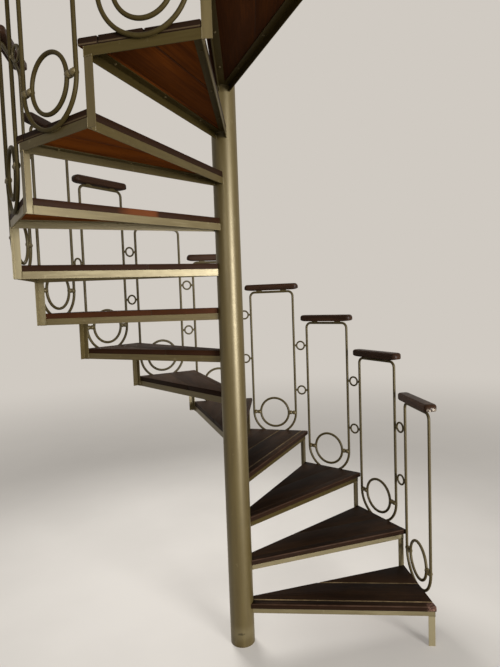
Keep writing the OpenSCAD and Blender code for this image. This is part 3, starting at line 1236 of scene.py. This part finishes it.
class STAIR_OT_boards(bpy.types.Operator):
    """Lays the planks of every tread"""

    bl_idname = "stair.boards"
    bl_label = "Tread boards"

    def execute(self, context):
        timber = context.scene.stair_timber
        kinds = (
            ("planks_", board_planks, tread_wood(timber)),
            ("plank_filler_", filler_strips, joint_filler(timber)),
        )
        rng = random.Random(timber.seed)
        for n in ALL_TREADS:
            replaced = ("tread_board_" + number(n),)
            for name, shape, finish in kinds:
                bm = shape(n, timber, rng)
                add_piece(name + number(n), bm, finish, replaced)
        return {"FINISHED"}


class STAIR_OT_grips(bpy.types.Operator):
    """Shapes the wooden grips on the hoops"""

    bl_idname = "stair.grips"
    bl_label = "Grips"

    def execute(self, context):
        grip = context.scene.stair_grip
        rng = random.Random(grip.seed)
        bm = bmesh.new()
        bm.verts.layers.float_vector.new("grain")
        bm.verts.layers.float.new("tone")
        bm.verts.layers.float.new("chipped")
        for n in ALL_TREADS:
            grip_mesh(bm, n, grip, rng)
        add_piece("shaped_grips", bm, grip_wood(grip), ("grips",), sharp=50)
        return {"FINISHED"}


class STAIR_OT_welds(bpy.types.Operator):
    """Lays the weld beads of the frames, the posts, the hoops and the rings"""

    bl_idname = "stair.welds"
    bl_label = "Welds"

    def execute(self, context):
        join = context.scene.stair_join
        rng = random.Random(join.seed + 1)
        sizes = {"bead": join.bead_r, "seam": join.seam_r, "round seam": join.seam_r}

        def lay(bm, place, paths):
            for points, kind in paths:
                points = [place @ point for point in points]
                bead(bm, points, sizes[kind], rng, closed=kind == "round seam")

        frames, posts, rails, links = [bmesh.new() for _ in range(4)]
        for n in ALL_TREADS:
            place = tread_place(n)
            lay(frames, place, frame_weld_paths())
            lay(rails, place, rail_weld_paths())
            along = place.to_3x3() @ Vector((0, 1, 0))
            for middle in ring_knobs():
                knob(rails, place @ middle, along, join.knob_r, join.knob_half, rng)
            if n < TREADS:
                lay(links, Matrix.Identity(4), link_weld_paths(n))
        lay(posts, tread_place(0), post_weld_paths()[:1])
        for n in range(1, TREADS):
            lay(posts, tread_place(n), post_weld_paths())
        weld = weld_metal(context.scene.stair_paint)
        add_piece("frame_welds", frames, weld, sharp=60)
        add_piece("post_welds", posts, weld, sharp=60)
        add_piece("hoop_welds", rails, weld, sharp=60)
        add_piece("link_welds", links, weld, sharp=60)
        return {"FINISHED"}


class STAIR_OT_screws(bpy.types.Operator):
    """Puts the screws that hold the boards from below"""

    bl_idname = "stair.screws"
    bl_label = "Screws"

    def execute(self, context):
        radius = context.scene.stair_join.screw_r
        bm = bmesh.new()
        spots = [(OUTER_U - SCREW_INSET, 0.0)]
        for u in SCREW_PLACES:
            reach = half_at(u) - SCREW_INSET
            spots += [(u, -reach), (u, reach)]
        for n in ALL_TREADS:
            for u, v in spots:
                screw_head(bm, tread_place(n) @ Matrix.Translation((u, v, FLAT_LOW)), radius)
        weld = weld_metal(context.scene.stair_paint)
        add_piece("board_screws", bm, weld, sharp=30)
        return {"FINISHED"}


class STAIR_OT_stage(bpy.types.Operator):
    """Sets the camera, the plain floor, the background and the lamps"""

    bl_idname = "stair.stage"
    bl_label = "Stage"

    def execute(self, context):
        stage = context.scene.stair_stage
        self.camera(context, stage)
        self.floor(stage)
        self.world(context, stage)
        for name in LAMPS:
            self.lamp(name, getattr(stage, name + "_power"))
        context.scene.view_settings.view_transform = "Standard"
        return {"FINISHED"}

    def camera(self, context, stage):
        data = bpy.data.cameras.new("camera")
        data.sensor_width = SENSOR_W
        data.lens = stage.lens
        camera = add_object("camera", data)
        ahead = Vector((
            math.sin(stage.yaw) * math.cos(stage.pitch),
            math.cos(stage.yaw) * math.cos(stage.pitch),
            math.sin(stage.pitch),
        ))
        level = Vector((math.cos(stage.yaw), -math.sin(stage.yaw), 0))
        above = level.cross(ahead)
        right = level * math.cos(stage.roll) + above * math.sin(stage.roll)
        up = above * math.cos(stage.roll) - level * math.sin(stage.roll)
        pose = Matrix((right, up, -ahead)).transposed().to_4x4()
        pose.translation = Vector(stage.eye)
        camera.matrix_world = pose
        context.scene.camera = camera

    def floor(self, stage):
        finish = Finish("studio_floor", Specular_IOR_Level=0.0)
        place = finish.place()
        cloud = finish.noise(place, 1.4, 3.0)
        paler = tuple(min(c * FLOOR_LIGHTER, 1.0) for c in stage.floor)
        shade = finish.mix(cloud.ramp(0.35, 0.65), tuple(stage.floor), paler)
        rough = 0.85 + cloud * 0.1
        finish.surface(Base_Color=shade, Roughness=rough)
        far = finish.node("ShaderNodeVectorMath", {"operation": "LENGTH"}, {0: place}, output=1)
        glow = finish.node(
            "ShaderNodeEmission", {}, {"Color": tuple(stage.backdrop), "Strength": 1.0}
        )
        share = far.ramp(stage.floor_near, stage.floor_far, stage.floor_glow, 1.0)
        blend = self.seen(finish) * share
        surface = Wire(finish, finish.shader.outputs[0])
        both = finish.node("ShaderNodeMixShader", {}, {0: blend, 1: surface, 2: glow})
        finish.plug(finish.tree.nodes["Material Output"].inputs[0], both)
        half = stage.floor_half
        mesh = bpy.data.meshes.new("studio_floor")
        mesh.from_pydata(
            [(-half, -half, 0), (half, -half, 0), (half, half, 0), (-half, half, 0)],
            [], [(0, 1, 2, 3)],
        )
        mesh.materials.append(finish.material)
        floor = add_object("studio_floor", mesh)

    def world(self, context, stage):
        finish = Finish.of_world("studio")
        shown = finish.node(
            "ShaderNodeBackground", {}, {"Color": tuple(stage.backdrop), "Strength": 1.0}
        )
        light = finish.node(
            "ShaderNodeBackground", {}, {"Color": FILL_TINT, "Strength": stage.fill}
        )
        both = finish.node("ShaderNodeMixShader", {}, {0: self.seen(finish), 1: light, 2: shown})
        finish.node("ShaderNodeOutputWorld", {}, {0: both}, output=None)
        context.scene.world = finish.material

    def seen(self, finish):
        """One where the background is looked at, directly or in a reflection."""
        path = ("Is Camera Ray", "Is Glossy Ray", "Is Transmission Ray")
        camera, glossy, through = [finish.node("ShaderNodeLightPath", output=name) for name in path]
        return camera.maths("MAXIMUM", camera.maths("MAXIMUM", camera, glossy), through)

    def lamp(self, name, power):
        place, size, reflected = LAMPS[name]
        data = bpy.data.lights.new(name, "AREA")
        data.shape = "RECTANGLE"
        data.size, data.size_y = size
        data.spread = LAMP_SPREAD
        data.energy = power
        lamp = add_object(name, data)
        lamp.location = place
        aim = Vector(LAMP_AIM) - Vector(place)
        lamp.rotation_euler = aim.to_track_quat("-Z", "Y").to_euler()
        lamp.visible_glossy = reflected


STEPS = (
    STAIR_OT_pole, STAIR_OT_steelwork, STAIR_OT_rails, STAIR_OT_boards,
    STAIR_OT_grips, STAIR_OT_welds, STAIR_OT_screws, STAIR_OT_stage,
)
GROUPS = {
    "stair_paint": StairPaint, "stair_timber": StairTimber, "stair_grip": StairGrip,
    "stair_join": StairJoin, "stair_stage": StairStage,
}


class VIEW3D_PT_staircase(bpy.types.Panel):
    """Steps and settings of the staircase"""

    bl_label = "Spiral Staircase"
    bl_space_type = "VIEW_3D"
    bl_region_type = "UI"
    bl_category = "Staircase"

    def draw(self, context):
        for step in STEPS:
            self.layout.operator(step.bl_idname)
        for name, group in GROUPS.items():
            box = self.layout.box()
            box.label(text=group.__doc__)
            for prop in group.__annotations__:
                box.prop(getattr(context.scene, name), prop)


def register():
    for name, group in GROUPS.items():
        bpy.utils.register_class(group)
        setattr(bpy.types.Scene, name, PointerProperty(type=group))
    for cls in (*STEPS, VIEW3D_PT_staircase):
        bpy.utils.register_class(cls)


def unregister():
    for cls in (VIEW3D_PT_staircase, *reversed(STEPS)):
        bpy.utils.unregister_class(cls)
    for name, group in GROUPS.items():
        delattr(bpy.types.Scene, name)
        bpy.utils.unregister_class(group)


def main():
    register()
    bpy.ops.stair.pole()
    bpy.ops.stair.steelwork()
    bpy.ops.stair.rails()
    bpy.ops.stair.boards()
    bpy.ops.stair.grips()
    bpy.ops.stair.welds()
    bpy.ops.stair.screws()
    bpy.ops.stair.stage()


if __name__ == "__main__":
    main()
